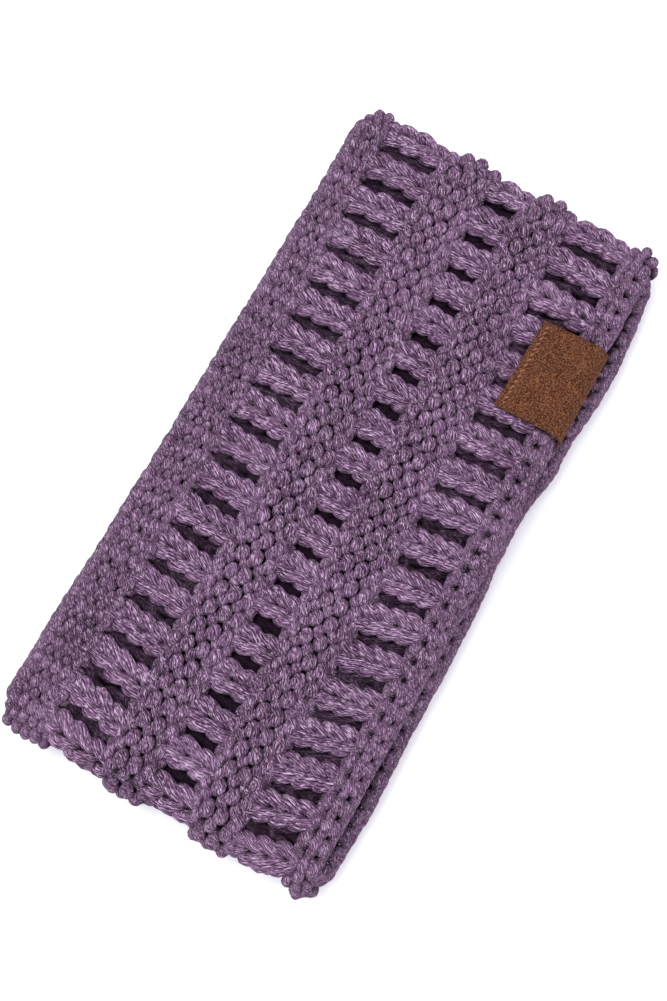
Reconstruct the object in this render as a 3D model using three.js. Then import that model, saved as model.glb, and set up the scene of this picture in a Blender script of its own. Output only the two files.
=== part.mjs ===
// Ear warmer headband: a chunky knitted loop lying flat, with a suede tag folded round one edge.
// X runs along the flattened band, Y across it and Z up, in millimetres. The origin is under its middle.
import * as THREE from 'three';

// The flattened loop: two layers of knit, joined by a fold at each end
const bandLength = 240;
const bandWidth = 110.6;
const foldRadius = 7.4;
const restPress = 0.7;
const topSag = 1;
const underlayShift = 4.4;

// Heights of the knit above and depths below its own middle surface
const weltRise = 4.8;
const edgeRise = 4.4;
const ribRise = 2.4;
const grooveRise = -1.4;
const footRise = 0.4;
const innerDepth = 3.4;
const weltHollow = 1.8;
const foldLift = 1.5;

// The rib bars that cross each channel, and how far a groove draws the welts in
const barPitch = 13.2;
const gather = 0.5;

// The tag, one strip of suede folded round the edge of the upper layer
const tagLength = 34.4;
const tagDepth = 24.2;
const tagThickness = 1.2;
const tagPlace = 61.2;
const tagLift = 0.9;
const seatGap = 0.3;

const yarnColour = '#76587a';
const suedeColour = '#7d4a2c';

// Welts and ribs take turns across the band, from the smooth edge at +Y to the tagged edge at -Y
const strips = ['smoothEdge', 'leftRib', 'leftWelt', 'middleRib', 'rightWelt', 'rightRib', 'taggedEdge'];

// The width of each strip along the band, as a share of the band's width, so that each row adds up to 1.
// The station is a share of half the length: -1 at the near fold and 1 at the far fold.
const widthTable = table(
  ['station', ...strips],
  [-1, 0.137, 0.182, 0.153, 0.124, 0.153, 0.153, 0.098],
  [-0.3, 0.133, 0.17, 0.179, 0.098, 0.177, 0.149, 0.094],
  [0.25, 0.117, 0.178, 0.17, 0.103, 0.174, 0.168, 0.09],
  [1, 0.082, 0.197, 0.168, 0.115, 0.145, 0.193, 0.1],
);

// Points of the cross-section: shares across a strip, and angles in degrees round an edge welt
const weltShares = [0, 0.13, 0.36, 0.64, 0.87, 1];
const ribShares = [0.1, 0.5, 0.9];
const ribInnerShares = [0.85, 0.15];
const weltInnerShares = [0.5];
const edgeAngles = [-90, -42, 0, 38, 72, 110, 150];
const weltBluntness = 2.5;

// Sections along each bar, as shares of its length: the groove lies at 0 and its walls end at 0.2 and 0.8
const runSections = [0, 0.2, 0.8];
const foldSections = [0, 0.2, 0.4, 0.6, 0.8];

// Steps along and round the tag
const tagSections = 7;
const leafShares = [0, 0.35, 0.7];
const tagFoldSteps = 9;

// Places that follow from the sizes
const halfRun = bandLength / 2 - foldRadius - weltRise;
const foldArc = Math.PI * foldRadius;
const loopLength = 4 * halfRun + 2 * foldArc;
const lowerMiddle = weltRise - restPress;
const upperMiddle = lowerMiddle + 2 * foldRadius;
const foldMiddle = lowerMiddle + foldRadius;
const barCount = Math.round(loopLength / barPitch);
const barLength = loopLength / barCount;
const { clamp, degToRad, lerp, smoothstep } = THREE.MathUtils;

function table(columns, ...rows) {
  return rows.map((row) => Object.fromEntries(columns.map((column, index) => [column, row[index]])));
}

function sagAt(x) {
  return topSag * Math.cos((Math.PI * x) / (2 * halfRun)) ** 2;
}

function foldPoint(x, angle) {
  const outX = Math.cos(angle);
  const outZ = Math.sin(angle);
  return { x: x + foldRadius * outX, z: foldMiddle + foldRadius * outZ, outX, outZ };
}

// The middle of the knit round the loop. It starts at the middle of the upper layer and goes towards +X,
// round the far fold, back along the lower layer and round the near fold.
function loopPoint(distance) {
  if (distance < halfRun) {
    return { x: distance, z: upperMiddle - sagAt(distance), outX: 0, outZ: 1 };
  }
  if (distance < halfRun + foldArc) {
    return foldPoint(halfRun, Math.PI / 2 - (distance - halfRun) / foldRadius);
  }
  if (distance < 3 * halfRun + foldArc) {
    return { x: 2 * halfRun + foldArc - distance, z: lowerMiddle, outX: 0, outZ: -1 };
  }
  if (distance < loopLength - halfRun) {
    return foldPoint(-halfRun, Math.PI / 2 + (loopLength - halfRun - distance) / foldRadius);
  }
  const x = distance - loopLength;
  return { x, z: upperMiddle - sagAt(x), outX: 0, outZ: 1 };
}

// Distances round the loop at which the knit has a section, each with how deep in a groove it lies.
function loopSections() {
  const sections = [];
  for (let bar = 0; bar < barCount; bar += 1) {
    const ends = [bar * barLength, (bar + 1) * barLength];
    const folds = ends.some((end) => loopPoint(end % loopLength).outX !== 0);
    for (const share of folds ? foldSections : runSections) {
      sections.push({ distance: ends[0] + share * barLength, groove: share === 0 ? 1 : 0 });
    }
  }
  return sections;
}

// The width of each strip at a station, eased between two rows of the table.
function stripWidths(station) {
  const next = Math.max(1, widthTable.findIndex((row) => row.station >= station));
  const before = widthTable[next - 1];
  const after = widthTable[next];
  const eased = smoothstep(station, before.station, after.station);
  return strips.map((strip) => bandWidth * lerp(before[strip], after[strip], eased));
}

// The lines that part the strips at x, from +Y to -Y. The welts are drawn over each groove.
function stripLines(x, groove) {
  let line = bandWidth / 2;
  const lines = [line];
  stripWidths(clamp(x / halfRun, -1, 1)).forEach((width, index) => {
    line -= width;
    const drawn = index === strips.length - 1 ? 0 : gather * groove;
    lines.push(index % 2 === 0 ? line - drawn : line + drawn);
  });
  return lines;
}

// The ellipse of an edge welt, from its inner face up to its crest. margin makes it larger all round.
function edgeEllipse(outerLine, ribLine, margin) {
  return {
    y: (outerLine + ribLine) / 2,
    h: (edgeRise - innerDepth) / 2,
    across: (outerLine - ribLine) / 2 + Math.sign(outerLine - ribLine) * margin,
    upright: (edgeRise + innerDepth) / 2 + margin,
  };
}

function onEllipse(ellipse, angle) {
  return {
    y: ellipse.y + ellipse.across * Math.cos(angle),
    h: ellipse.h + ellipse.upright * Math.sin(angle),
  };
}

function between(start, end, share) {
  return { y: lerp(start.y, end.y, share), h: lerp(start.h, end.h, share) };
}

function edgePoints(outerLine, ribLine) {
  const ellipse = edgeEllipse(outerLine, ribLine, 0);
  return edgeAngles.map((degrees) => onEllipse(ellipse, degToRad(degrees)));
}

// The closed cross-section of the knit: y across the band, h out from its middle surface.
function crossSection(x, groove, foldShare) {
  const lines = stripLines(x, groove);
  const foot = footRise + foldLift * foldShare;
  const rib = lerp(ribRise + foldLift * foldShare, grooveRise, groove);
  const rounded = (share) => (1 - Math.abs(2 * share - 1) ** weltBluntness) ** (1 / weltBluntness);
  const welt = (share) => lerp(foot, weltRise, rounded(share));
  const across = (index, share, h) => ({ y: lerp(lines[index], lines[index + 1], share), h });
  const inside = strips.map((strip, index) => index).slice(1, -1);
  const outer = inside.flatMap((index) => (index % 2 === 1
    ? ribShares.map((share) => across(index, share, rib))
    : weltShares.map((share) => across(index, share, welt(share)))));
  const inner = inside.reverse().flatMap((index) => (index % 2 === 1
    ? ribInnerShares.map((share) => across(index, share, -innerDepth))
    : weltInnerShares.map((share) => across(index, share, -weltHollow))));
  const smoothEdge = edgePoints(lines[0], lines[1]);
  const taggedEdge = edgePoints(lines.at(-1), lines.at(-2)).reverse();
  return [...smoothEdge, ...outer, ...taggedEdge, ...inner];
}

// The knit lies sheared, its lower layer a little towards the tagged edge, and flattened where it rests.
function placed(middle, { y, h }) {
  const lean = underlayShift * (0.5 - (upperMiddle - middle.z) / (2 * foldRadius));
  return new THREE.Vector3(middle.x + middle.outX * h, y + lean, Math.max(0, middle.z + middle.outZ * h));
}

// Joins closed sections of equal point count into one body. An open run of sections gets two ends,
// each a strip between the first and second half of its points.
function bodyThrough(sections, closed) {
  const count = sections[0].length;
  const at = (section, point) => (section % sections.length) * count + (point % count);
  const index = [];
  for (let section = 0; section < sections.length - (closed ? 0 : 1); section += 1) {
    for (let point = 0; point < count; point += 1) {
      index.push(at(section, point), at(section, point + 1), at(section + 1, point + 1));
      index.push(at(section, point), at(section + 1, point + 1), at(section + 1, point));
    }
  }
  for (let point = 0; !closed && point < count / 2 - 1; point += 1) {
    const [near, far] = [0, sections.length - 1];
    const mirror = count - 1 - point;
    index.push(at(near, point), at(near, mirror), at(near, mirror - 1));
    index.push(at(near, point), at(near, mirror - 1), at(near, point + 1));
    index.push(at(far, point), at(far, mirror - 1), at(far, mirror));
    index.push(at(far, point), at(far, point + 1), at(far, mirror - 1));
  }
  const geometry = new THREE.BufferGeometry().setFromPoints(sections.flat());
  geometry.setIndex(index);
  geometry.computeVertexNormals();
  return geometry;
}

function knitBand() {
  const sections = loopSections().map(({ distance, groove }) => {
    const middle = loopPoint(distance);
    return crossSection(middle.x, groove, middle.outX ** 2).map((point) => placed(middle, point));
  });
  return bodyThrough(sections, true);
}

// The middle line of the suede at x: the upper leaf from its sewn side to the crest of the edge welt,
// the fold round the edge, and the lower leaf back under the knit.
function tagLine(x, lift) {
  const [ribLine, outerLine] = stripLines(x, 0).slice(-2);
  const sewnLine = stripLines(tagPlace, 0).at(-1) + tagDepth;
  const margin = seatGap + tagThickness / 2;
  const ellipse = edgeEllipse(outerLine, ribLine, margin);
  const sewn = { y: sewnLine, h: ribRise + margin + lift };
  const across = (sewn.y - ellipse.y) / ellipse.across;
  const upright = (sewn.h - ellipse.h) / ellipse.upright;
  const touch = Math.atan2(upright, across) - Math.acos(1 / Math.hypot(across, upright));
  const under = -Math.PI / 2;
  const steps = Array.from({ length: tagFoldSteps + 1 }, (_, step) => step / tagFoldSteps);
  const fold = steps.map((share) => onEllipse(ellipse, lerp(touch, under, share)));
  const tip = { y: sewnLine, h: fold.at(-1).h };
  const upper = leafShares.map((share) => between(sewn, fold[0], share));
  const lower = leafShares.map((share) => between(tip, fold.at(-1), share)).reverse();
  return [...upper, ...fold, ...lower];
}

// The line moved sideways by a distance, square to its own direction at each point.
function offsetLine(line, distance) {
  return line.map((point, index) => {
    const before = line[Math.max(index - 1, 0)];
    const after = line[Math.min(index + 1, line.length - 1)];
    const length = Math.hypot(after.y - before.y, after.h - before.h);
    const y = point.y + (distance * (after.h - before.h)) / length;
    return { y, h: point.h - (distance * (after.y - before.y)) / length };
  });
}

function tag() {
  const sections = Array.from({ length: tagSections }, (_, section) => {
    const share = section / (tagSections - 1);
    const x = tagPlace + (share - 0.5) * tagLength;
    const line = tagLine(x, tagLift * (1 - share) ** 2);
    const outside = offsetLine(line, tagThickness / 2);
    const inside = offsetLine(line, -tagThickness / 2).reverse();
    const middle = { x, z: upperMiddle - sagAt(x), outX: 0, outZ: 1 };
    return [...outside, ...inside].map((point) => placed(middle, point));
  });
  return bodyThrough(sections, false);
}

function piece(name, geometry, color, roughness) {
  const material = new THREE.MeshStandardMaterial({ color, roughness, metalness: 0 });
  const mesh = new THREE.Mesh(geometry, material);
  mesh.name = name;
  return mesh;
}

const group = new THREE.Group();
group.add(piece('knit_band', knitBand(), yarnColour, 0.95));
group.add(piece('tag', tag(), suedeColour, 0.85));

export default group;
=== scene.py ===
"""Ear warmer headband: a chunky knitted loop lying flat, with a suede tag folded round one edge.

The knit is made course by course. Each course is one closed yarn that runs round the loop and is laid in
stitches over the band's own surface. Lengths are in millimetres until a mesh is made, which is in metres.
"""

import logging
import math
from dataclasses import dataclass, field
from enum import Enum

import bpy
import numpy as np
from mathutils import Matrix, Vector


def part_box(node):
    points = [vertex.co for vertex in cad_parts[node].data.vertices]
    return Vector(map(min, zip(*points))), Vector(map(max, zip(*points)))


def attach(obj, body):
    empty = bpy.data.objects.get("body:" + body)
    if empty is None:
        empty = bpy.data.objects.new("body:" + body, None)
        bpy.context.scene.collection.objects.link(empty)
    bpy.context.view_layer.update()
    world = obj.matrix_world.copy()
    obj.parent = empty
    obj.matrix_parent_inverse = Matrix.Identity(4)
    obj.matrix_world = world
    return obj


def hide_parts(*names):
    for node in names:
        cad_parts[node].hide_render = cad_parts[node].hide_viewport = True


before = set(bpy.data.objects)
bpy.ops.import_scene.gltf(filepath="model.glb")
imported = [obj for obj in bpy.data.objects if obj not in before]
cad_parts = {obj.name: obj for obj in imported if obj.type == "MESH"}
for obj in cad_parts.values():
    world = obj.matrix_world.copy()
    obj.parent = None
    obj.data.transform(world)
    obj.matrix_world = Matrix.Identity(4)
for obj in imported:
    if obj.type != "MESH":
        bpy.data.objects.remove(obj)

log = logging.getLogger("headband")
Array = np.ndarray
MM = 0.001
BODY = "root"
KNIT_NODE = "knit_band"
TAG_NODE = "tag"
STRAND = "strand"
# the depth below the outer face, which the yarn material reads to paint shade on deep yarn
SUNK = "sunk"
BAR_PITCH = 13.2


class Slot(Enum):
    """Names of material slots."""

    YARN = "yarn"
    SUEDE = "suede"
    THREAD = "thread"


class Anchor(Enum):
    """Where a welt's courses are counted from, as a share of its flat top towards -Y."""

    MIDDLE = 0
    START = -1
    END = 1


def eased(low: float, high: float, value: Array) -> Array:
    """A smooth step: 3 w^2 - 2 w^3, where w goes from 0 at low to 1 at high.

    Args:
        low: where the step starts.
        high: where it ends.
        value: the places to read it at.

    Returns:
        The step at each place, from 0 to 1.
    """
    share = np.clip((value - low) / (high - low), 0.0, 1.0)
    return share * share * (3.0 - 2.0 * share)


def table_at(table: Array, station: Array) -> Array:
    """Reads a table whose first column is a station, eased between its rows.

    Args:
        table: rows of a station and the values there, with rising stations.
        station: the places to read it at.

    Returns:
        An array of the shape of station with one more axis, for the values.
    """
    rows = np.clip(np.searchsorted(table[:, 0], station), 1, len(table) - 1)
    before, after = table[rows - 1], table[rows]
    share = eased(before[..., 0], after[..., 0], station)[..., None]
    return before[..., 1:] * (1 - share) + after[..., 1:] * share


@dataclass(frozen=True)
class LoopPath:
    """The middle line of the knit seen from the side: two level runs joined by a half circle at each end."""

    length: float
    crest: float = 4.8
    fold_radius: float = 7.4
    rest_press: float = 0.7
    top_sag: float = 1.0
    underlay_shift: float = 4.4
    # station, then how much further than usual the lower layer leans towards the tagged edge
    underlay_sway: tuple[tuple[float, float], ...] = (
        (-1.00, 0.0),
        (-0.80, 0.6),
        (-0.30, -0.2),
        (0.18, -2.6),
        (0.42, 0.9),
        (0.68, 2.8),
        (0.85, 0.8),
        (1.00, -1.0),
    )

    @property
    def half_run(self) -> float:
        """Half the length of a level run."""
        return self.length / 2 - self.fold_radius - self.crest

    @property
    def fold_arc(self) -> float:
        """The length of the middle line round one fold."""
        return math.pi * self.fold_radius

    @property
    def around(self) -> float:
        """The length of the middle line round the whole loop."""
        return 4 * self.half_run + 2 * self.fold_arc

    @property
    def lower(self) -> float:
        """The height of the lower layer's middle."""
        return self.crest - self.rest_press

    @property
    def upper(self) -> float:
        """The height of the upper layer's middle."""
        return self.lower + 2 * self.fold_radius

    def middle(self, distance: Array) -> tuple[Array, Array, Array, Array]:
        """The middle line at a distance from the middle of the upper layer, first towards +X.

        On a run, x changes with the distance and z stays, apart from the upper layer's sag, which goes with
        the squared cosine of x. On a fold, the angle from +Z goes with the distance over the fold's radius.

        Args:
            distance: places along the line.

        Returns:
            x, z, and the x and z of the direction that points out of the loop.
        """
        along = np.mod(distance + self.half_run, self.around) - self.half_run
        turn = np.clip((along - self.half_run) / self.fold_radius, 0, math.pi)
        turn = turn + np.clip((along - 3 * self.half_run - self.fold_arc) / self.fold_radius, 0, math.pi)
        run_out = np.clip(along, -self.half_run, self.half_run)
        run_back = np.clip(along - 2 * self.half_run - self.fold_arc, -self.half_run, self.half_run)
        x = run_out - (run_back + self.half_run) * (along > self.half_run)
        out_x, out_z = np.sin(turn), np.cos(turn)
        sag = self.top_sag * np.cos(math.pi * x / (2 * self.half_run)) ** 2 * (turn == 0)
        z = self.lower + self.fold_radius + self.fold_radius * out_z - sag
        return x + self.fold_radius * out_x, z, out_x, out_z

    def place(self, distance: Array, y: Array, h: Array) -> Array:
        """Places on the band in the row frame: the middle line plus h times the way out, y across.

        The lower layer leans towards the tagged edge.

        Args:
            distance: places along the middle line.
            y: places across the band.
            h: heights off the middle.

        Returns:
            Points, with x, y and z in the last axis.
        """
        x, z, out_x, out_z = self.middle(distance)
        sway = table_at(np.array(self.underlay_sway), np.clip(x / self.half_run, -1, 1))[..., 0]
        below = (self.upper - z) / (2 * self.fold_radius)
        lean = self.underlay_shift / 2 - (self.underlay_shift + sway) * below
        return np.stack(np.broadcast_arrays(x + out_x * h, y + lean, z + out_z * h), axis=-1)


@dataclass(frozen=True)
class StripLayout:
    """The lines that part welts and ribs across the band. They wander along its length."""

    band_width: float
    # how far the tag draws the tagged edge in, and the stations where that starts and ends
    tuck: float = 1.1
    tuck_from: tuple[float, float] = (0.33, 0.43)
    tuck_to: tuple[float, float] = (0.68, 0.82)
    # how far the smooth edge swells beyond the band's width
    swell: float = 1.6
    # station, then the share of the width of: smooth edge, left rib, left welt, middle rib, right welt,
    # right rib, tagged edge. The station is -1 at the near fold and 1 at the far fold.
    shares: tuple[tuple[float, ...], ...] = (
        (-1.0, 0.137, 0.182, 0.153, 0.124, 0.153, 0.153, 0.098),
        (-0.3, 0.133, 0.170, 0.179, 0.098, 0.177, 0.149, 0.094),
        (0.25, 0.117, 0.178, 0.170, 0.103, 0.174, 0.168, 0.090),
        (1.0, 0.082, 0.197, 0.168, 0.115, 0.145, 0.193, 0.100),
    )

    def lines(self, station: Array) -> Array:
        """The lines from +Y to -Y: half the width less the running sum of the strips' widths. The first line
        swells out, and the tag draws the last one in.

        Args:
            station: places along the band, from -1 to 1.

        Returns:
            An array with eight lines in its last axis.
        """
        widths = self.band_width * table_at(np.array(self.shares), np.clip(station, -1, 1))
        start = np.full(widths.shape[:-1] + (1,), self.band_width / 2)
        lines = np.concatenate([start, self.band_width / 2 - np.cumsum(widths, axis=-1)], axis=-1)
        lines[..., 0] += self.swell
        lines[..., -1] += self.tuck * (eased(*self.tuck_from, station) - eased(*self.tuck_to, station))
        return lines


@dataclass(frozen=True)
class Gauge:
    """How the band is knitted: how many rib bars go round it, with two stitches to a bar."""

    bars: int
    bar_length: float
    rings_per_stitch: int = 16

    @property
    def stitches(self) -> int:
        """The number of stitches in a course."""
        return 2 * self.bars

    @property
    def rings(self) -> int:
        """The number of points on a course's middle line."""
        return self.stitches * self.rings_per_stitch


def linked(name: str, data: bpy.types.ID) -> bpy.types.Object:
    """Makes an object and links it to the scene.

    Args:
        name: the object's name.
        data: its mesh, camera or light.

    Returns:
        The object.
    """
    made = bpy.data.objects.new(name, data)
    bpy.context.scene.collection.objects.link(made)
    return made


class MeshMaker:
    """Puts arrays of points and faces into Blender meshes."""

    @staticmethod
    def from_quads(
        name: str, points: Array, quads: Array, uv: Array | None = None, sunk: Array | None = None
    ) -> bpy.types.Object:
        """Makes a smooth mesh object of quads.

        Args:
            name: the piece's name.
            points: n by 3, in millimetres.
            quads: m by 4 indices.
            uv: m by 4 by 2 texture places, or None.
            sunk: how far each point lies below the piece's outer face, in millimetres, or None.

        Returns:
            The object, at the origin.
        """
        mesh = bpy.data.meshes.new(name)
        mesh.vertices.add(len(points))
        mesh.vertices.foreach_set("co", (points * MM).astype(np.float32).ravel())
        mesh.loops.add(quads.size)
        mesh.loops.foreach_set("vertex_index", quads.astype(np.int32).ravel())
        mesh.polygons.add(len(quads))
        mesh.polygons.foreach_set("loop_start", np.arange(0, quads.size, 4, dtype=np.int32))
        mesh.polygons.foreach_set("use_smooth", np.ones(len(quads), dtype=bool))
        if uv is not None:
            layer = mesh.uv_layers.new(name=STRAND)
            layer.data.foreach_set("uv", uv.astype(np.float32).ravel())
        if sunk is not None:
            values = mesh.attributes.new(SUNK, "FLOAT", "POINT")
            values.data.foreach_set("value", sunk.astype(np.float32).ravel())
        mesh.update(calc_edges=True)
        mesh.validate()
        return linked(name, mesh)

    @staticmethod
    def wrapped_grid(rows: int, columns: int, start: int = 0) -> Array:
        """Quads of a grid that closes on itself both ways: rows go along it and columns round it.

        Args:
            rows: how many rows of points.
            columns: how many points in a row.
            start: the index of the first point.

        Returns:
            rows * columns by 4 indices, facing out where columns turn right-handed about the rows' way.
        """
        row, column = np.meshgrid(np.arange(rows), np.arange(columns), indexing="ij")
        next_row, next_column = (row + 1) % rows, (column + 1) % columns
        corners = [
            row * columns + column,
            next_row * columns + column,
            next_row * columns + next_column,
            row * columns + next_column,
        ]
        return np.stack(corners, axis=-1).reshape(-1, 4) + start


@dataclass(frozen=True)
class Lay:
    """How yarn is laid: closed middle lines, one for each course.

    points and outward are courses by rings by 3. sunk is how far a point lies below the outer face, and
    thickness is the yarn's thickness there as a share of its usual one. Both are courses by rings.
    """

    points: Array
    outward: Array
    sunk: Array
    thickness: Array


@dataclass(frozen=True)
class Yarn:
    """A round yarn of twisted plies. Its lay is the length in which the plies go once round, and its pace
    is how quickly the marks on it follow each other.
    """

    radius: float
    lay: float
    sides: int = 10
    pace: float = 1.0

    def mesh(self, name: str, lay: Lay) -> bpy.types.Object:
        """Tubes round closed lines: each ring is the line's point plus radius (cos a, sin a) in the plane
        square to the line, with a = 0 pointing into the band.

        Args:
            name: the piece's name.
            lay: the yarn's middle lines.

        Returns:
            The object, whose texture places hold the length along the yarn in millimetres, times its pace,
            and the turn of its plies, which goes once round in a lay.
        """
        courses, rings = lay.points.shape[:2]
        ahead = self._unit(np.roll(lay.points, -1, axis=1) - np.roll(lay.points, 1, axis=1))
        aside = self._unit(self._steady(self._unit(np.cross(ahead, lay.outward))))
        aside = self._unit(aside - ahead * (aside * ahead).sum(axis=-1, keepdims=True))
        above = np.cross(aside, ahead)
        turn = 2 * math.pi * np.arange(self.sides) / self.sides
        across = np.sin(turn)[:, None] * aside[:, :, None, :] - np.cos(turn)[:, None] * above[:, :, None, :]
        radius = self.radius * lay.thickness[..., None]
        points = lay.points[:, :, None, :] + radius[..., None] * across
        points[..., 2] = np.maximum(points[..., 2], 0.0)
        sunk = lay.sunk[..., None] + radius * (1 + np.cos(turn))
        step = np.linalg.norm(np.roll(lay.points, -1, axis=1) - lay.points, axis=-1)
        along = np.concatenate([np.zeros((courses, 1)), np.cumsum(step, axis=1)], axis=1)
        starts = range(0, courses * rings * self.sides, rings * self.sides)
        quads = np.concatenate([MeshMaker.wrapped_grid(rings, self.sides, start) for start in starts])
        return MeshMaker.from_quads(name, points.reshape(-1, 3), quads, self._places(along), sunk)

    @staticmethod
    def _unit(direction: Array) -> Array:
        """The direction with a length of one."""
        return direction / np.maximum(np.linalg.norm(direction, axis=-1, keepdims=True), 1e-6)

    @staticmethod
    def _steady(direction: Array) -> Array:
        """The direction summed with its neighbours along the yarn, so that it turns gently."""
        return sum(np.roll(direction, shift, axis=1) for shift in (-2, -1, 0, 1, 2))

    def _places(self, along: Array) -> Array:
        """Texture places of the quads: the length along the yarn, and the share of a turn of the plies.

        Args:
            along: the length along the yarn at each ring, with the whole length last.

        Returns:
            n by 4 by 2 places, for the four corners of each quad.
        """
        courses, rings = along.shape[0], along.shape[1] - 1
        shape = (courses, rings, self.sides)
        near = np.broadcast_to(along[:, :-1, None], shape)
        far = np.broadcast_to(along[:, 1:, None], shape)
        low = np.broadcast_to(np.arange(self.sides) / self.sides, shape)
        high = low + 1 / self.sides
        edges = [(near, low), (far, low), (far, high), (near, high)]
        corners = [(length * self.pace, turn + length / self.lay) for length, turn in edges]
        return np.stack([np.stack(corner, axis=-1) for corner in corners], axis=-2).reshape(-1, 4, 2)


@dataclass
class Band:
    """The knitted band's surface: where a stitch lies for its place round the loop and across a strip."""

    path: LoopPath
    layout: StripLayout
    gauge: Gauge

    def station(self, distance: Array) -> Array:
        """How far along the band a place is, from -1 at the near fold to 1 at the far fold."""
        return np.clip(self.path.middle(distance)[0] / self.path.half_run, -1, 1)

    def out(self, distance: Array, across: Array, upright: Array) -> Array:
        """A direction given across the band and off its middle, in the row frame.

        Args:
            distance: places along the middle line.
            across: the direction's part along +Y.
            upright: its part away from the middle.

        Returns:
            Directions, with x, y and z in the last axis.
        """
        _, _, out_x, out_z = self.path.middle(distance)
        return np.stack(np.broadcast_arrays(out_x * upright, across, out_z * upright), axis=-1)


@dataclass
class Strip:
    """One strip of the knit between two lines of the layout."""

    name: str
    index: int
    band: Band
    courses: int
    yarn: Yarn
    seed: int
    # station and slant in degrees: how far a wale turns from straight across the band
    slants: tuple[tuple[float, float], ...] = ((-1.0, 0.0), (1.0, 0.0))
    # the lowest height of resting yarn, in radii, and the share that is left of what would go below it
    rest_height: float = 0.9
    rest_give: float = 0.2
    rng: np.random.Generator = field(init=False)

    def __post_init__(self) -> None:
        """Starts the strip's own random draws."""
        self.rng = np.random.default_rng(self.seed)

    def wander(self, amount: float, courses: int = 0, draws: int = 0) -> Array:
        """A slow random drift: one draw a stitch, eased from each to the next.

        Args:
            amount: the standard deviation of the draws.
            courses: how many courses get draws of their own, or 0 for every course.
            draws: how many draws there are round the loop, or 0 for one a stitch.

        Returns:
            courses by rings values.
        """
        draws = draws or self.band.gauge.stitches
        values = self.rng.normal(0, amount, (courses or self.courses, draws))
        at = np.arange(self.band.gauge.rings) * draws / self.band.gauge.rings
        low = np.floor(at).astype(int)
        share = eased(0, 1, at - low)
        return values[:, low % draws] * (1 - share) + values[:, (low + 1) % draws] * share

    def limits(self, distance: Array) -> tuple[Array, Array]:
        """The strip's line towards +Y and its line towards -Y, at each place along the loop."""
        lines = self.band.layout.lines(self.band.station(distance))
        return lines[..., self.index], lines[..., self.index + 1]

    def profile(self, place: Array, distance: Array) -> tuple[Array, Array, Array, Array]:
        """The strip in cross-section.

        Args:
            place: places across the strip, which rise towards -Y.
            distance: places along the loop.

        Returns:
            y across the band, h off the loop's middle line, and the y and h of the way out.
        """
        raise NotImplementedError

    def lay(self, distance: Array, place: Array, rise: Array) -> tuple[Array, Array]:
        """Lays points over the strip: the profile's point plus rise times the profile's way out. Slanted
        wales shift round the loop with y.

        Args:
            distance: places along the loop.
            place: places across the strip.
            rise: heights off the profile.

        Returns:
            Points in the row frame and the way out at each of them.
        """
        y, h, out_y, out_h = self.profile(place, distance)
        start_line, end_line = self.limits(distance)
        slope = np.tan(np.radians(table_at(np.array(self.slants), self.band.station(distance))[..., 0]))
        layer = np.sign(self.band.path.middle(distance)[3])
        shifted = distance + slope * ((start_line + end_line) / 2 - y) * layer
        points = self.band.path.place(shifted, y + rise * out_y, h + rise * out_h)
        return points, self.band.out(shifted, out_y, out_h)

    def rest(self, points: Array) -> None:
        """Draws up what would go through the surface that the band rests on, as flattened yarn.

        Args:
            points: the yarn's middle lines, which are changed in place.
        """
        height = points[..., 2]
        lowest = self.rest_height * self.yarn.radius
        points[..., 2] = np.where(height < lowest, lowest + self.rest_give * (height - lowest), height)

    def courses_laid(self) -> Lay:
        """The strip's yarn."""
        raise NotImplementedError

    def build(self) -> bpy.types.Object:
        """Makes the strip's piece, one closed yarn for each course.

        Returns:
            The object.
        """
        lay = self.courses_laid()
        self.rest(lay.points)
        return self.yarn.mesh(self.name, lay)


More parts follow.
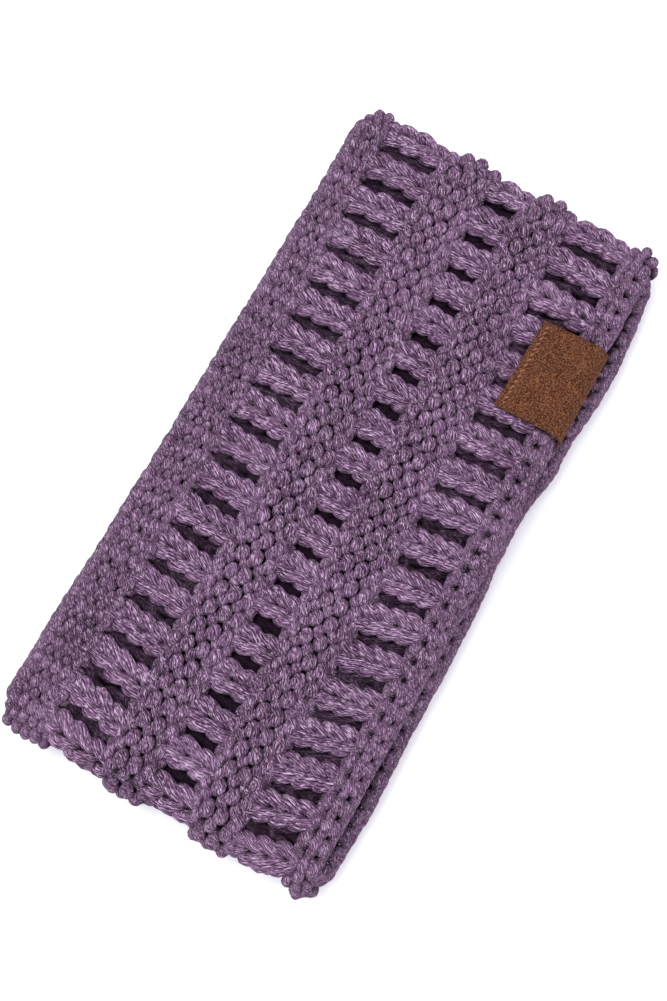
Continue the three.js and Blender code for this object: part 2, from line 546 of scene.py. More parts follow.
@dataclass
class Welt(Strip):
    """A rounded roll of purl stitches between two ribs. Its profile runs through the stitches' feet."""

    spacing: float = 5.0
    first: float = -12.9
    anchor: Anchor = Anchor.MIDDLE
    crest: float = 2.6
    corner: float = 2.8
    drop: float = 4.4
    crown: float = 0.5
    start_spread: float = 0.85
    end_spread: float = 0.85
    start_turn: float = 112.0
    end_turn: float = 112.0
    reach: float = 0.74
    leg_depth: float = 3.4
    head_drop: float = 0.9
    bulge: float = 0.035
    # the share of the reach that is left where the welt turns down: towards +Y, and towards -Y
    side_reach: tuple[float, float] = (1.0, 1.0)
    side_power: int = 4
    # how far the middle of the welt stands out on a fold, and how far its sides draw in there
    fold_lift: float = 1.9
    fold_pinch: float = 2.7
    # how much less the legs sink on a fold
    fold_fill: float = 0.6
    lean: float = 0.0
    # how far the profile goes on under the welt, in millimetres
    tuck_in: float = 3.0
    # the yarn's usual thickness here, and how much of it the relief takes off, adds at the legs and takes
    # off the heads
    fullness: float = 0.95
    slimness: tuple[float, float, float] = (0.07, 0.12, 0.08)
    # standard deviations of the yarn's place round the loop and across in stitches, its height and thickness
    loose: tuple[float, float, float, float] = (0.035, 0.05, 0.13, 0.03)

    def _flat(self, distance: Array) -> tuple[Array, Array]:
        """The flat top of the welt.

        Args:
            distance: places along the loop.

        Returns:
            The y of its middle and half of its width at each place.
        """
        start_line, end_line = self.limits(distance)
        start, end = start_line + self.start_spread, end_line - self.end_spread
        return (start + end) / 2, np.maximum((start - end) / 2 - self.yarn.radius - self.corner, 0.0)

    def profile(self, place: Array, distance: Array) -> tuple[Array, Array, Array, Array]:
        """A flat top with an oval corner on each side. Beyond the flat half width f, y goes with
        corner sin a and h with -drop (1 - cos a), where a is |place| - f over the oval's mean radius. Past
        its last turn it goes straight in under the welt. A crown lowers it by crown (y / f)^2 on the flat.
        The way out is square to the oval.

        Args:
            place: places across the welt in millimetres from its middle, which rise towards -Y.
            distance: places along the loop.

        Returns:
            y, h, and the y and h of the way out.
        """
        middle, flat = self._flat(distance)
        mean = (self.corner + self.drop) / 2
        over = np.maximum(np.abs(place) - flat, 0.0)
        last = np.radians(np.where(place < 0, self.start_turn, self.end_turn))
        turn = np.minimum(over / mean, last)
        inward = np.minimum(over - turn * mean, self.tuck_in)
        y = np.minimum(np.abs(place), flat) + self.corner * np.sin(turn) - inward
        fall = self.crown * np.minimum(np.abs(place) / np.maximum(flat, 1.0), 1.0) ** 2
        h = self.crest - fall - self.drop * (1 - np.cos(turn))
        out_y, out_h = self.drop * np.sin(turn), self.corner * np.cos(turn)
        size = np.hypot(out_y, out_h)
        return middle - np.sign(place) * y, h, -np.sign(place) * out_y / size, out_h / size

    @staticmethod
    def _blunt(wave: Array) -> Array:
        """A wave with flatter ends: w (3 - w^2) / 2."""
        return wave * (3 - wave**2) / 2

    def courses_laid(self) -> Lay:
        """Purl stitches. Over one stitch, t goes from 0 at its head to a full turn, with its foot half way:

        round the loop   t / turn + bulge sin 2t, in stitches
        across           -reach cos t, blunted, in courses from the course's middle
        off the profile  -leg depth sin^2 t - head drop (1 + cos t) / 2, so that the legs sink between them

        Where the welt turns down at its sides, and on a fold, the legs sink less. On a fold its middle
        stands out and its sides draw in.

        Returns:
            The yarn of every course.
        """
        gauge = self.band.gauge
        loose_round, loose_across, loose_height, loose_thickness = self.loose
        slim, leg, head = self.slimness
        stitch = gauge.bar_length / 2
        at = np.arange(gauge.rings)[None, :] / gauge.rings_per_stitch
        turn = 2 * math.pi * at
        foot = self.first + self.spacing * np.arange(self.courses)[:, None]
        bulge = self.bulge * np.sin(2 * turn) + self.wander(loose_round)
        distance = stitch * (at + bulge + self.lean * foot / self.spacing) + self.band.path.around / 2
        foot_place = foot + self.anchor.value * self._flat(distance)[1]
        side_reach = np.where(foot_place < 0, *self.side_reach)
        reach = self.reach * (side_reach + (1 - side_reach) * self._relief(foot_place, distance))
        blunt = self._blunt(self._blunt(np.cos(turn)))
        place = foot_place - self.spacing * (reach * (1 + blunt) + self.wander(loose_across))
        relief = self._relief(place, distance)
        sunk = relief * (self.leg_depth * np.sin(turn) ** 2 + self.head_drop * (1 + np.cos(turn)) / 2)
        fold = self.band.path.middle(distance)[2] ** 2
        sunk = sunk * (1 - self.fold_fill * fold) - self.wander(loose_height)
        lift = fold * (self.fold_lift * relief - self.fold_pinch * (1 - relief))
        points, outward = self.lay(distance, place, lift - sunk)
        thinner = relief * (slim - leg * np.cos(2 * turn) + head * np.cos(turn))
        thickness = self.fullness - thinner + self.wander(loose_thickness)
        return Lay(points, outward, sunk, thickness)

    def _relief(self, place: Array, distance: Array) -> Array:
        """One on the flat of the welt, and almost nothing where its way out points across the band."""
        return 1 - 0.95 * self.profile(place, distance)[2] ** self.side_power


@dataclass
class Rib(Strip):
    """A channel of knit wales, drawn together into bars with a deep groove between each two."""

    middle: float = -1.85
    crown: float = 1.2
    overrun: float = 0.15
    # the height of the bars' face, from which the depth for the yarn's painted shade is measured
    top: float = 1.35
    groove: float = 2.1
    fold_lift: float = 1.8
    bar_width: float = 1.0
    # the yarn's thickness in a groove, what it gains on a bar, and the heights between which it gains that
    thinnest: float = 0.74
    fuller: float = 0.3
    fuller_between: tuple[float, float] = (-2.2, 0.8)
    # standard deviations of a bar's width, place and height, which is felt above the height given last
    loose_bar: tuple[float, float, float] = (0.07, 0.035, 0.3)
    swell_between: tuple[float, float] = (-0.5, 1.0)
    # standard deviations of the yarn's place along a bar and across in courses, its height and thickness
    loose: tuple[float, float, float, float] = (0.022, 0.05, 0.16, 0.03)
    # half of the yarn's way over one bar, from the groove at 0 to the middle of the bar at 0.5: place along
    # the bar, place across in courses, height in millimetres, and the share of the groove's depth
    half_bar: tuple[tuple[float, float, float, float], ...] = (
        (0.000, 0.55, 0.0, 1.0),
        (0.060, 0.15, -0.3, 1.0),
        (0.105, -0.40, 0.0, 1.0),
        (0.250, -0.86, -1.4, 0.5),
        (0.434, -0.62, -1.4, 0.0),
        (0.402, -0.33, 0.6, 0.0),
        (0.345, 0.05, 1.35, 0.0),
        (0.272, 0.42, 1.10, 0.0),
        (0.258, 0.70, -0.2, 0.0),
        (0.340, 0.97, -1.9, 0.0),
        (0.500, 1.04, -2.3, 0.0),
    )

    def profile(self, place: Array, distance: Array) -> tuple[Array, Array, Array, Array]:
        """A shallow arch over places 0 to 1: straight across, and crown (1 - (2 place - 1)^2) high. It
        starts and ends under the welts, an overrun of the strip's width beyond its lines.

        Args:
            place: places across the channel, from 0 to 1 towards -Y.
            distance: places along the loop.

        Returns:
            y, h, and the y and h of the way out.
        """
        start_line, end_line = self.limits(distance)
        width = start_line - end_line
        whole = width * (1 + 2 * self.overrun)
        y = start_line + self.overrun * width - place * whole
        h = self.middle + self.crown * (1 - (2 * place - 1) ** 2) + 0 * width
        fall = 4 * self.crown * (2 * place - 1)
        size = np.hypot(fall, whole)
        return y, h, -fall / size, whole / size

    def _bar_curve(self, at: Array) -> Array:
        """The yarn's way over a bar: a Catmull-Rom curve through the table's points and their mirror images.

        Args:
            at: places from 0 to 1 along the bar's knots.

        Returns:
            The place along the bar, the place across and the height at each.
        """
        table = np.array(self.half_bar)
        half = np.stack([table[:, 0], table[:, 1], table[:, 2] - self.groove * table[:, 3]], axis=-1)
        mirrored = half[-2:0:-1] * [-1, 1, 1] + [1, 0, 0]
        knots = np.concatenate([half, mirrored])
        count = len(knots)
        place = at * count
        knot = np.floor(place).astype(int)
        u = (place - knot)[:, None]

        def knot_at(offset: int) -> Array:
            """The knot that many places on, in the bar that it lies in."""
            index = knot + offset
            return knots[index % count] + np.stack([index // count, 0 * index, 0 * index], axis=-1)

        before, start, end, after = (knot_at(offset) for offset in (-1, 0, 1, 2))
        return 0.5 * (
            2 * start
            + (end - before) * u
            + (2 * before - 5 * start + 4 * end - after) * u**2
            + (3 * start - 3 * end + after - before) * u**3
        )

    def courses_laid(self) -> Lay:
        """Rib stitches: the curve of one bar, repeated for each bar, and a course further across each time.
        Its heights rise by fold lift (1 - (2 place - 1)^2) on a fold.

        Returns:
            The yarn of every course.
        """
        gauge = self.band.gauge
        bar_width, bar_sway, bar_swell = self.loose_bar
        loose_along, loose_across, loose_height, loose_thickness = self.loose
        bar_place = np.arange(gauge.rings) * gauge.bars / gauge.rings
        bar = np.floor(bar_place)
        along, across, height = self._bar_curve(bar_place - bar).T
        course = np.arange(self.courses)[:, None] + 0.5
        along = 0.5 + (along - 0.5) * (self.bar_width + self.wander(bar_width, draws=gauge.bars))
        sway = self.wander(bar_sway, courses=1, draws=gauge.bars) + self.wander(loose_along)
        distance = gauge.bar_length * (bar + along + sway) + self.band.path.around / 2
        place = (course - across + self.wander(loose_across)) / self.courses
        swell = self.wander(bar_swell, courses=1, draws=gauge.bars)
        lift = self.fold_lift * self.band.path.middle(distance)[2] ** 2 * (1 - (2 * place - 1) ** 2)
        rise = height + lift + self.wander(loose_height) + swell * eased(*self.swell_between, height)
        points, outward = self.lay(distance, place, rise)
        gain = self.fuller * eased(*self.fuller_between, height)
        thickness = self.thinnest + gain + self.wander(loose_thickness)
        return Lay(points, outward, self.top + lift - rise, thickness + 0 * place)


@dataclass
class KnitGround:
    """The dense inner side of the knit: a thin closed cloth, on which the stitches stand. It stands for the
    fibre haze and inner loops between stitches, and its dark colour is painted shade in those gaps.
    """

    name: str
    band: Band
    thickness: float = 1.2
    rows: int = 288
    columns: int = 48
    edge_inset: float = 2.8
    # depth below the loop's middle line under each strip, from the smooth edge to the tagged edge
    depths: tuple[float, ...] = (2.2, 4.6, 2.0, 4.6, 2.2, 4.6, 2.2)

    def _depths(self, y: Array, lines: Array) -> Array:
        """The cloth's h: from strip middle to strip middle it is eased from each strip's depth to the next.

        Args:
            y: places across the band, rows by columns.
            lines: the strips' lines in each row.

        Returns:
            h at each place.
        """
        middles = ((lines[:, :-1] + lines[:, 1:]) / 2)[..., None]
        h = np.full(y.shape, -self.depths[0])
        for strip, (before, after) in enumerate(zip(self.depths, self.depths[1:])):
            way = (middles[:, strip] - y) / (middles[:, strip] - middles[:, strip + 1])
            h = h + eased(0, 1, way) * (before - after)
        return h

    def build(self) -> bpy.types.Object:
        """Makes the cloth: rows round the loop, each a closed section with an outer and an inner face.

        Returns:
            The object.
        """
        distance = np.arange(self.rows) * self.band.path.around / self.rows
        lines = self.band.layout.lines(self.band.station(distance))
        start, end = lines[:, 0] - self.edge_inset, lines[:, -1] + self.edge_inset
        half = self.columns // 2
        share = (np.arange(half) + 0.5) / half
        y = start[:, None] + (end - start)[:, None] * share
        h = self._depths(y, lines)
        rim = np.sqrt(np.clip(np.minimum(share, 1 - share) * half, 0, 1))
        outer, inner = h + rim * self.thickness / 2, h - rim * self.thickness / 2
        section_y = np.concatenate([y[:, ::-1], y], axis=1)
        section_h = np.concatenate([outer[:, ::-1], inner], axis=1)
        points = self.band.path.place(distance[:, None], section_y, section_h)
        quads = MeshMaker.wrapped_grid(self.rows, self.columns)
        return MeshMaker.from_quads(self.name, points.reshape(-1, 3), quads)

    @property
    def flat_size(self) -> tuple[float, float]:
        """The width and length of the cloth laid out flat, in metres."""
        width = self.band.layout.band_width - 2 * self.edge_inset
        return (width * MM, self.band.path.around * MM)


@dataclass
class Tag:
    """A strip of suede folded round the tagged edge of the upper layer, sewn through both of its leaves."""

    name: str
    band: Band
    place: float = 61.0
    length: float = 33.8
    depth: float = 24.6
    skew: float = 1.2
    thickness: float = 1.2
    lift: float = 0.9
    seat_gap: float = 0.3
    rib_rise: float = 2.4
    edge_rise: float = 4.4
    inner_depth: float = 3.4
    rim: float = 0.45
    columns: int = 72
    steps: int = 120
    # the shares of the steps that lie on the upper leaf and on the fold, and the fold's length
    upper_share: float = 0.42
    fold_share: float = 0.26
    fold_length: float = 10.0
    # how far the columns gather towards the rims
    gather: float = 0.4

    def _ellipse(self, x: Array) -> tuple[Array, float, Array, float]:
        """The edge welt's ellipse at x, larger by the seat.

        Args:
            x: places along the band.

        Returns:
            Its centre's y and h, and its half sizes along y and h.
        """
        lines = self.band.layout.lines(x / self.band.path.half_run)
        rib_line, outer_line = lines[..., -2], lines[..., -1]
        margin = self.seat_gap + self.thickness / 2
        middle, upright = (self.edge_rise - self.inner_depth) / 2, (self.edge_rise + self.inner_depth) / 2
        return (outer_line + rib_line) / 2, middle, (outer_line - rib_line) / 2 - margin, upright + margin

    def line(self, x: Array, share: Array) -> tuple[Array, Array]:
        """The middle line of the suede: straight from its sewn side to where it touches the ellipse, round
        the ellipse to its underside, and straight back.

        Args:
            x: places along the band.
            share: places along the line, from 0 at the upper leaf's sewn side to 1 at the lower leaf's.

        Returns:
            y and h.
        """
        middle_y, middle_h, across, upright = self._ellipse(x)
        slack = self.lift * ((self.place + self.length / 2 - x) / self.length) ** 2
        edge_y = -self.band.layout.band_width / 2
        sewn_y = edge_y + self.depth - self.skew * (0.5 + (x - self.place) / self.length)
        sewn_h = self.rib_rise + self.seat_gap + self.thickness / 2 + slack
        side, rise = (sewn_y - middle_y) / across, (sewn_h - middle_h) / upright
        touch = np.arctan2(rise, side) - np.arccos(1 / np.hypot(side, rise))
        on_fold = np.clip((share - self.upper_share) / self.fold_share, 0, 1)
        angle = touch + (-math.pi / 2 - touch) * on_fold
        y, h = middle_y + across * np.cos(angle), middle_h + upright * np.sin(angle)
        before = np.clip(1 - share / self.upper_share, 0, 1)
        lower_start = self.upper_share + self.fold_share
        after = np.clip((share - lower_start) / (1 - lower_start), 0, 1)
        y = y + (sewn_y - y) * np.maximum(before, after)
        return y, h + (sewn_h - h) * before

    def surface(self, x: Array, share: Array, rise: Array) -> Array:
        """Points at a height off the middle of the suede, away from the knit.

        Args:
            x: places along the band.
            share: places along the middle line.
            rise: heights off it.

        Returns:
            Points in the row frame.
        """
        step = 0.002
        y, h = self.line(x, share)
        y_next, h_next = self.line(x, share + step)
        y_last, h_last = self.line(x, share - step)
        dy, dh = y_next - y_last, h_next - h_last
        size = np.hypot(dy, dh)
        return self.band.path.place(x, y + rise * dh / size, h - rise * dy / size)

    def build(self) -> bpy.types.Object:
        """Makes the suede: a closed section round each step of the line, with rims like quarter circles.

        Returns:
            The object.
        """
        half = self.columns // 2
        even = (np.arange(half) + 0.5) / half
        width = (1 - self.gather) * even + self.gather * (0.5 - 0.5 * np.cos(math.pi * even))
        length = (np.arange(self.steps) + 0.5) / self.steps
        line_length = 2 * self.depth + self.fold_length
        edge = np.minimum.outer(
            np.minimum(length, 1 - length) * line_length, np.minimum(width, 1 - width) * self.length
        )
        short = np.clip(1 - edge / self.rim, 0, 1)
        rise = self.thickness / 2 * np.sqrt(1 - short**2)
        x = self.place + (width - 0.5) * self.length
        outer = self.surface(x[None, :], length[:, None], rise)
        inner = self.surface(x[None, :], length[:, None], -rise)
        points = np.concatenate([outer, inner[:, ::-1]], axis=1)
        quads = MeshMaker.wrapped_grid(self.steps, self.columns)[: -self.columns]
        ends = self._end_quads()
        return MeshMaker.from_quads(self.name, points.reshape(-1, 3), np.concatenate([quads, ends]))

    def _end_quads(self) -> Array:
        """Quads that close the first and last section, each between its outer and inner points.

        Returns:
            n by 4 indices.
        """
        half = self.columns // 2
        column = np.arange(half - 1)
        mirror = self.columns - 1 - column
        first = np.stack([column, column + 1, mirror - 1, mirror], axis=-1)
        last = first[:, ::-1] + (self.steps - 1) * self.columns
        return np.concatenate([first, last])

    @property
    def flat_size(self) -> tuple[float, float]:
        """The suede before it was folded: its width, and the length of its middle line.

        Returns:
            Both in metres.
        """
        share = np.linspace(0, 1, 200)
        y, h = self.line(np.full(200, self.place), share)
        return (self.length * MM, float(np.hypot(np.diff(y), np.diff(h)).sum()) * MM)


@dataclass
class TagStitches:
    """The line of thread that sews the tag's leaves down near their inner sides."""

    name: str
    tag: Tag
    thread: Yarn = Yarn(0.3, 2.4, 8)
    inset: float = 3.4
    end_gap: float = 2.0
    pitch: float = 2.1
    # the thread's middle height off the suede's middle, how far it goes up and down, and its height inside
    height: float = 0.3
    swing: float = 0.42
    inside: float = -0.1
    # how far each stitch slants, as a share of the suede's length
    slant: float = 0.006
    rings: int = 600

    def build(self) -> bpy.types.Object:
        """Makes one closed thread: it goes along the upper leaf in and out of the suede, and back inside it.

        Returns:
            The object.
        """
        turn = 2 * math.pi * np.arange(self.rings) / self.rings
        reach = self.tag.length / 2 - self.end_gap
        x = self.tag.place + reach * (np.abs(turn / math.pi - 1) * 2 - 1)
        going = turn < math.pi
        wave = 2 * math.pi * x / self.pitch
        rise = np.where(going, self.height + self.swing * np.cos(wave), self.inside)
        share = self.inset / (self.tag.depth / self.tag.upper_share)
        share = share + np.where(going, self.slant * np.sin(wave), 0.0)
        points = self.tag.surface(x, share, rise)[None]
        outward = self.tag.surface(x, share, rise + 1.0)[None] - points
        lay = Lay(points, outward, 0 * points[..., 0], 1 + 0 * points[..., 0])
        return self.thread.mesh(self.name, lay)


class Shader:
    """A socket of a material's node tree, with Python's operators as Math nodes."""

    def __init__(self, tree: "Tree", socket: bpy.types.NodeSocket) -> None:
        """Wraps a socket of the tree."""
        self.tree = tree
        self.socket = socket

    def _math(self, operation: str, *values: "Shader | float") -> "Shader":
        """Adds a Math node with these values."""
        return self.tree.add("ShaderNodeMath", dict(enumerate(values)), operation=operation)

    def __add__(self, other: "Shader | float") -> "Shader":
        """self + other."""
        return self._math("ADD", self, other)

    __radd__ = __add__

    def __sub__(self, other: "Shader | float") -> "Shader":
        """self - other."""
        return self._math("SUBTRACT", self, other)

    def __rsub__(self, other: float) -> "Shader":
        """other - self."""
        return self._math("SUBTRACT", other, self)

    def __mul__(self, other: "Shader | float") -> "Shader":
        """self * other."""
        return self._math("MULTIPLY", self, other)

    __rmul__ = __mul__

    def __truediv__(self, other: "Shader | float") -> "Shader":
        """self / other."""
        return self._math("DIVIDE", self, other)

    def __rtruediv__(self, other: float) -> "Shader":
        """other / self."""
        return self._math("DIVIDE", other, self)

    def sine(self) -> "Shader":
        """The sine of self, in radians."""
        return self._math("SINE", self)

    def cosine(self) -> "Shader":
        """The cosine of self, in radians."""
        return self._math("COSINE", self)

    def step(self, low: float, high: float) -> "Shader":
        """0 below low, 1 above high, smooth between."""
        inputs = {"Value": self, "From Min": low, "From Max": high}
        return self.tree.add("ShaderNodeMapRange", inputs, interpolation_type="SMOOTHSTEP")


class Tree:
    """A new material with its Principled shader, and the nodes that are added to it."""

    def __init__(self, name: str) -> None:
        """Starts a material of that name."""
        self.material = bpy.data.materials.new(name)
        self.material.use_nodes = True
        self.nodes = self.material.node_tree.nodes

    def fill(self, made: bpy.types.Node, inputs: dict[str | int, object]) -> None:
        """Sets a node's sockets.

        Args:
            made: the node.
            inputs: a value, or a Shader to link, for each named or numbered socket.
        """
        for name, value in inputs.items():
            if isinstance(value, Shader):
                self.material.node_tree.links.new(value.socket, made.inputs[name])
            else:
                made.inputs[name].default_value = value

    def add(
        self, kind: str, inputs: dict[str | int, object], output: str | int = 0, **settings: object
    ) -> Shader:
        """Adds a node.

        Args:
            kind: the node's type.
            inputs: a value, or a Shader to link, for each named or numbered socket.
            output: the socket that is wanted.
            **settings: the node's own settings, set before its sockets.

        Returns:
            The output socket.
        """
        made = self.nodes.new(kind)
        for name, value in settings.items():
            setattr(made, name, value)
        self.fill(made, inputs)
        return Shader(self, made.outputs[output])

    def axis(self, vector: Shader, index: int) -> Shader:
        """One of a vector's three numbers."""
        return self.add("ShaderNodeSeparateXYZ", {0: vector}, index)

    def noise(self, where: Shader, scale: float, detail: float) -> Shader:
        """Noise from 0 to 1 at a place, with that many features to a unit and that much finer detail."""
        return self.add("ShaderNodeTexNoise", {"Vector": where, "Scale": scale, "Detail": detail})

    def mix(self, factor: Shader | float, low: object, high: object) -> Shader:
        """Mixes two colours.

        Args:
            factor: the share of the second colour.
            low: the first colour, a Shader or four numbers.
            high: the second colour.

        Returns:
            The mixed colour.
        """
        return self.add("ShaderNodeMix", {0: factor, 6: low, 7: high}, 2, data_type="RGBA")

    def finish(self, base: Shader, height: Shader, depth: float, **constants: float) -> bpy.types.Material:
        """Ends the material with its Principled shader.

        Args:
            base: the base colour.
            height: the relief, from 0 to 1.
            depth: how far the relief stands, in millimetres.
            **constants: the shader's other values, by their sockets' names with underscores.

        Returns:
            The material.
        """
        bump = self.add("ShaderNodeBump", {"Height": height, "Distance": depth * MM, "Strength": 1.0})
        values = {name.replace("_", " "): value for name, value in constants.items()}
        self.fill(self.nodes["Principled BSDF"], {"Base Color": base, "Normal": bump, **values})
        return self.material


def colour(red: float, green: float, blue: float) -> tuple[float, float, float, float]:
    """A colour as light: s / 12.92 for a share s up to 0.04045, and ((s + 0.055) / 1.055)^2.4 above.

    Args:
        red: the value that a picture shows, from 0 to 255.
        green: likewise.
        blue: likewise.

    Returns:
        Red, green, blue and an alpha of one.
    """
    shares = (value / 255 for value in (red, green, blue))
    linear = [share / 12.92 if share <= 0.04045 else ((share + 0.055) / 1.055) ** 2.4 for share in shares]
    return (*linear, 1.0)


@dataclass(frozen=True)
class YarnFinish:
    """Loosely plied acrylic: fine fibres wind round the yarn, with painted highlights on their tops, painted
    shade in the hollows of their relief, and painted shade on yarn that lies deep in the knit.
    """

    name: str
    # painted shade for the relief's hollows and for deep yarn, the yarn's own colour, and a painted
    # highlight
    painted_shade: tuple[int, int, int] = (46, 26, 46)
    body: tuple[int, int, int] = (124, 93, 123)
    painted_highlight: tuple[int, int, int] = (207, 179, 208)
    plies: float = 13.0
    relief: float = 0.7
    # radius and speed of each kind of streak
    strands: tuple[float, float] = (1.8, 0.3)
    dashes: tuple[float, float] = (5.5, 1.7)
    fibres: tuple[float, float] = (10.0, 3.0)
    # the relief between which the painted shade in its hollows gives way to the body, and the streaks at
    # which the painted highlights start
    body_between: tuple[float, float] = (0.34, 0.66)
    highlight_between: tuple[float, float] = (0.52, 0.63)
    highlight_share: float = 0.8
    # the parts of the relief: plies, dashes and fibres. The painted highlights: dashes and fibres
    relief_shares: tuple[float, float, float] = (0.12, 0.42, 0.46)
    highlight_shares: tuple[float, float] = (0.4, 0.6)
    # how far the strands bend the plies, and how much and how finely the tone changes in patches
    ply_bend: float = 6.0
    patch_share: float = 0.2
    patch_scale: float = 55.0
    # painted shade on yarn deep in the knit: the depths between which it darkens, in millimetres, how far,
    # and its darkest colour as a share of the painted shade colour
    shade_depths: tuple[float, float] = (1.8, 4.4)
    deep_shade_share: float = 0.94
    deepest_shade_level: float = 0.62

    def material(self) -> bpy.types.Material:
        """Makes the yarn's material.

        The texture's v is the turn of the plies. A cosine of it parts them, and noises on cylinders that are
        turned the same way give uneven strands, short dashes and fine fibres along it. The hollows of that
        relief get a painted shade and the tops of the streaks a painted highlight. Little light reaches yarn
        that lies deep in the knit, so a painted shade darkens it with the depth below the face.

        Returns:
            The material.
        """
        tree = Tree(self.name)
        place = tree.add("ShaderNodeUVMap", {}, uv_map=STRAND)
        along, turn = tree.axis(place, 0), tree.axis(place, 1) * (2 * math.pi)
        strands = self._streaks(tree, turn, along, *self.strands)
        dashes = self._streaks(tree, turn, along, *self.dashes)
        fibres = self._streaks(tree, turn, along, *self.fibres)
        plies = (turn * self.plies + strands * self.ply_bend).cosine() * 0.5 + 0.5
        patch = tree.noise(tree.add("ShaderNodeTexCoord", {}, "Object"), self.patch_scale, 2.0)
        sunk = tree.add("ShaderNodeAttribute", {}, "Fac", attribute_name=SUNK)
        ply_part, dash_part, fibre_part = self.relief_shares
        height = plies * ply_part + dashes * dash_part + fibres * fibre_part
        # painted shade: the relief's hollows go towards the painted shade colour, with random patches of
        # tone
        light = (height + (patch - 0.5) * self.patch_share).step(*self.body_between)
        # painted highlights on the tops of the dashes and fibres
        dash_part, fibre_part = self.highlight_shares
        highlights = (dashes * dash_part + fibres * fibre_part).step(*self.highlight_between) * self.highlight_share
        shown = tree.mix(highlights, tree.mix(light, colour(*self.painted_shade), colour(*self.body)), colour(*self.painted_highlight))
        # painted shade on yarn that lies deep in the knit
        deep_shade = sunk.step(*self.shade_depths) * self.deep_shade_share
        base = tree.mix(deep_shade, shown, colour(*(self.deepest_shade_level * part for part in self.painted_shade)))
        look = {"Roughness": 0.88, "Specular_IOR_Level": 0.04}
        return tree.finish(base, height, self.relief, **look)

    def _streaks(self, tree: Tree, turn: Shader, along: Shader, radius: float, speed: float) -> Shader:
        """Noise at (radius cos turn, radius sin turn, speed u), which runs along the strands.

        Args:
            tree: the material.
            turn: the turned angle round the yarn.
            along: the length along the yarn, in millimetres.
            radius: the cylinder's radius in the noise.
            speed: how fast the noise changes along the yarn.

        Returns:
            The noise, from 0 to 1.
        """
        parts = {0: turn.cosine() * radius, 1: turn.sine() * radius, 2: along * speed}
        return tree.noise(tree.add("ShaderNodeCombineXYZ", parts), 1.0, 2.0)


@dataclass(frozen=True)
class GroundFinish:
    """The inner side of the knit: dark with painted shade for the gaps between stitches, with rows of small
    stitches.
    """

    name: str
    # both colours are painted shade, far darker than the yarn, for the gaps between the stitches
    painted_shade: tuple[int, int, int] = (16, 9, 17)
    body: tuple[int, int, int] = (38, 25, 39)
    stitch: float = 6.6
    relief: float = 1.2
    # how finely and how far noise bends the rows, the rows' part of the relief, and where the body starts
    bend_scale: float = 180.0
    bend: float = 3.0
    row_share: float = 0.3
    body_between: tuple[float, float] = (0.1, 0.6)

    def material(self) -> bpy.types.Material:
        """Makes the material: cosines of x and y, bent by noise, stand for the stitches, and mix two dark
        colours of painted shade.

        Returns:
            The material.
        """
        tree = Tree(self.name)
        where = tree.add("ShaderNodeTexCoord", {}, "Object")
        bend = tree.noise(where, self.bend_scale, 3.0)
        turn = 2 * math.pi / (self.stitch * MM)
        waves = [(tree.axis(where, index) * turn + bend * self.bend).cosine() for index in (0, 1)]
        height = waves[0] * waves[1] * self.row_share + bend * (1 - self.row_share)
        base = tree.mix(height.step(*self.body_between), colour(*self.painted_shade), colour(*self.body))
        return tree.finish(base, height, self.relief, Roughness=0.95, Specular_IOR_Level=0.02)


@dataclass(frozen=True)
class SuedeFinish:
    """Brushed tan suede: a fine mottled nap with darker grain."""

    name: str
    grain: tuple[int, int, int] = (47, 24, 13)
    body: tuple[int, int, int] = (77, 43, 26)
    nap: tuple[int, int, int] = (109, 69, 47)
    relief: float = 0.3
    nap_scale: float = 1900.0
    patch_scale: float = 160.0
    patch_share: float = 0.1
    # the tones between which the grain gives way to the body, and the body to the nap
    body_between: tuple[float, float] = (0.38, 0.5)
    nap_between: tuple[float, float] = (0.49, 0.62)

    def material(self) -> bpy.types.Material:
        """Makes the suede: fine noise for the nap, coarser noise for brushed patches.

        Returns:
            The material.
        """
        tree = Tree(self.name)
        where = tree.add("ShaderNodeTexCoord", {}, "Object")
        nap, patch = tree.noise(where, self.nap_scale, 2.0), tree.noise(where, self.patch_scale, 3.0)
        tone = nap * (1 - self.patch_share) + patch * self.patch_share
        brown = tree.mix(tone.step(*self.body_between), colour(*self.grain), colour(*self.body))
        base = tree.mix(tone.step(*self.nap_between), brown, colour(*self.nap))
        look = {"Roughness": 0.92, "Specular_IOR_Level": 0.15}
        return tree.finish(base, nap, self.relief, **look)


@dataclass(frozen=True)
class ThreadFinish:
    """Light tan sewing thread with fine twisted plies."""

    name: str
    low: tuple[int, int, int] = (92, 54, 34)
    high: tuple[int, int, int] = (156, 108, 74)
    relief: float = 0.08
    plies: float = 3.0

    def material(self) -> bpy.types.Material:
        """Makes the thread: a sine of the turn of its plies, lighter on their crowns and darker in their
        grooves, as painted light and shade.

        Returns:
            The material.
        """
        tree = Tree(self.name)
        turn = tree.axis(tree.add("ShaderNodeUVMap", {}, uv_map=STRAND), 1) * (2 * math.pi)
        plies = (turn * self.plies).sine() * 0.5 + 0.5
        # painted light and shade: ply crowns lighter, grooves darker
        base = tree.mix(plies, colour(*self.low), colour(*self.high))
        return tree.finish(base, plies, self.relief, Roughness=0.6)


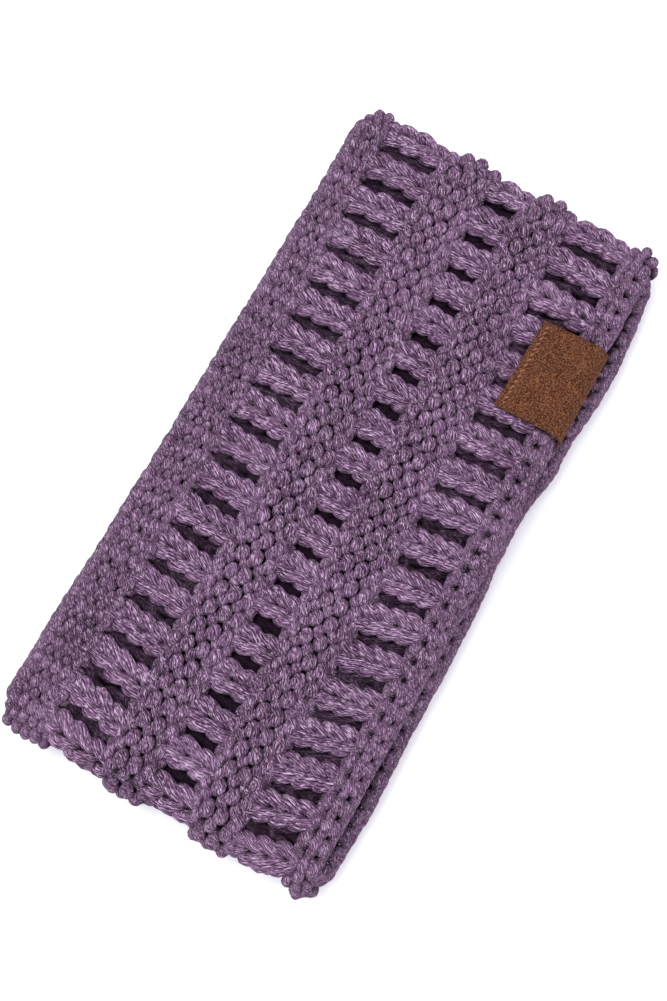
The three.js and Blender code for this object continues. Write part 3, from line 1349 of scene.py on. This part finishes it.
@dataclass
class Studio:
    """The pale floor, the soft light and the camera at the photograph's viewing angle."""

    azimuth: float = -60.34
    elevation: float = 77.34
    distance: float = 458.0
    target: tuple[float, float, float] = (-6.45, 1.31, 12.0)
    lens: float = 50.95
    floor_half: float = 3000.0
    floor_colour: tuple[int, int, int] = (243, 242, 246)
    key_place: tuple[float, float, float] = (-120.0, 330.0, 900.0)
    key_size: float = 420.0
    key_watts: float = 4.0
    surround_colour: tuple[float, float, float, float] = (0.96, 0.97, 1.0, 1.0)
    surround_strength: float = 1.45

    def camera(self) -> None:
        """A camera that looks down at the target from its azimuth and elevation."""
        data = bpy.data.cameras.new("camera")
        data.lens = self.lens
        data.sensor_width = 36.0
        data.clip_start = 0.01
        made = linked("camera", data)
        azimuth, elevation = math.radians(self.azimuth), math.radians(self.elevation)
        back = np.array([
            math.sin(azimuth) * math.cos(elevation),
            -math.cos(azimuth) * math.cos(elevation),
            math.sin(elevation),
        ])
        made.location = (np.array(self.target) + self.distance * back) * MM
        made.rotation_euler = (math.pi / 2 - elevation, 0.0, azimuth)
        bpy.context.scene.camera = made

    def floor(self) -> None:
        """A wide flat sheet just under the band."""
        half = self.floor_half
        points = np.array([[-half, -half, 0], [half, -half, 0], [half, half, 0], [-half, half, 0]])
        made = MeshMaker.from_quads("floor", points, np.array([[0, 1, 2, 3]]))
        material = bpy.data.materials.new("white_sweep")
        material.use_nodes = True
        shader = material.node_tree.nodes["Principled BSDF"]
        shader.inputs["Base Color"].default_value = colour(*self.floor_colour)
        shader.inputs["Roughness"].default_value = 0.9
        made.data.materials.append(material)

    def key(self) -> None:
        """A square soft light that faces the middle of the band."""
        data = bpy.data.lights.new("key", "AREA")
        data.size = self.key_size * MM
        data.energy = self.key_watts
        made = linked("key", data)
        x, y, z = self.key_place
        made.location = (x * MM, y * MM, z * MM)
        made.rotation_euler = (math.atan2(math.hypot(x, y), z), 0.0, math.atan2(y, x) + math.pi / 2)

    def surround(self) -> None:
        """An even pale light from all round."""
        world = bpy.data.worlds.new("studio")
        world.use_nodes = True
        background = world.node_tree.nodes["Background"]
        background.inputs[0].default_value = self.surround_colour
        background.inputs[1].default_value = self.surround_strength
        bpy.context.scene.world = world

    def build(self) -> None:
        """Makes the floor, the lights and the camera."""
        self.floor()
        self.key()
        self.surround()
        self.camera()
        bpy.context.scene.view_settings.view_transform = "Standard"


@dataclass
class Headband:
    """The whole ear warmer: the knit's strips, the ground that they stand on, and the tag."""

    band: Band

    def strips(self) -> list[Strip]:
        """Sets out the welts and ribs.

        Returns:
            The seven strips, from the smooth edge to the tagged edge.
        """
        band = self.band
        edge_yarn, welt_yarn, rib_yarn = Yarn(1.8, -5.0), Yarn(2.2, -6.0), Yarn(2.2, 45.0, pace=0.3)
        edge = {"corner": 1.4, "drop": 3.5, "crest": 2.3, "side_power": 2, "spacing": 3.3}
        left = ((-1.0, -12.0), (-0.5, -4.0), (0.2, 0.0), (1.0, 3.0))
        right = ((-1.0, 15.0), (-0.45, 14.0), (0.1, 4.0), (1.0, -2.0))
        return [
            Welt("smooth_edge_welt", 0, band, 7, edge_yarn, 11, first=-15.6, anchor=Anchor.END,
                 start_spread=0.0, end_spread=2.7, start_turn=150.0, side_reach=(0.1, 1.0), **edge),
            Rib("left_rib", 1, band, 4, rib_yarn, 12, left, fold_lift=3.8),
            Welt("left_welt", 2, band, 7, welt_yarn, 13, start_spread=1.9, end_spread=1.3, lean=0.05),
            Rib("middle_rib", 3, band, 3, rib_yarn, 14, overrun=0.3, groove=3.6, bar_width=1.07),
            Welt("right_welt", 4, band, 7, welt_yarn, 15, start_spread=2.2, end_spread=1.7),
            Rib("right_rib", 5, band, 4, rib_yarn, 16, right, fold_lift=3.4),
            Welt("tagged_edge_welt", 6, band, 6, edge_yarn, 17, first=-3.9, anchor=Anchor.START,
                 end_spread=0.0, end_turn=150.0, side_reach=(1.0, 0.1), **edge),
        ]

    @staticmethod
    def seat(
        piece: bpy.types.Object, node: str, slot: Slot, finish: bpy.types.Material
    ) -> bpy.types.Object:
        """Gives a piece its finish and its place in the frame.

        Args:
            piece: the piece.
            node: the CAD node that it stands for.
            slot: not used.
            finish: its material.

        Returns:
            The piece.
        """
        piece.data.materials.append(finish)
        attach(piece, BODY)
        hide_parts(node)
        log.info("%s: %d faces", piece.name, len(piece.data.polygons))
        return piece

    def build(self) -> None:
        yarn = YarnFinish("mauve_yarn").material()
        knit = [self.seat(strip.build(), KNIT_NODE, Slot.YARN, yarn) for strip in self.strips()]
        cloth = KnitGround("knit_ground", self.band)
        ground = self.seat(cloth.build(), KNIT_NODE, Slot.YARN, GroundFinish("knit_inside_painted_shade").material())
        cloth.flat_size
        tag = Tag("suede_tag", self.band)
        suede = self.seat(tag.build(), TAG_NODE, Slot.SUEDE, SuedeFinish("tan_suede").material())
        stitches = TagStitches("tag_stitches", tag)
        thread = self.seat(stitches.build(), TAG_NODE, Slot.THREAD, ThreadFinish("tan_thread").material())
        tag.flat_size


def main() -> None:
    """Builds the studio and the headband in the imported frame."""
    logging.basicConfig(level=logging.INFO, format="%(name)s: %(message)s")
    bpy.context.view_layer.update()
    low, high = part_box(KNIT_NODE)
    size = (np.array(high) - np.array(low)) / MM
    path = LoopPath(length=float(size[0]))
    layout = StripLayout(band_width=float(size[1]) - path.underlay_shift)
    bars = round(path.around / BAR_PITCH)
    band = Band(path, layout, Gauge(bars, path.around / bars))
    Studio().build()
    Headband(band).build()


if __name__ == "__main__":
    main()
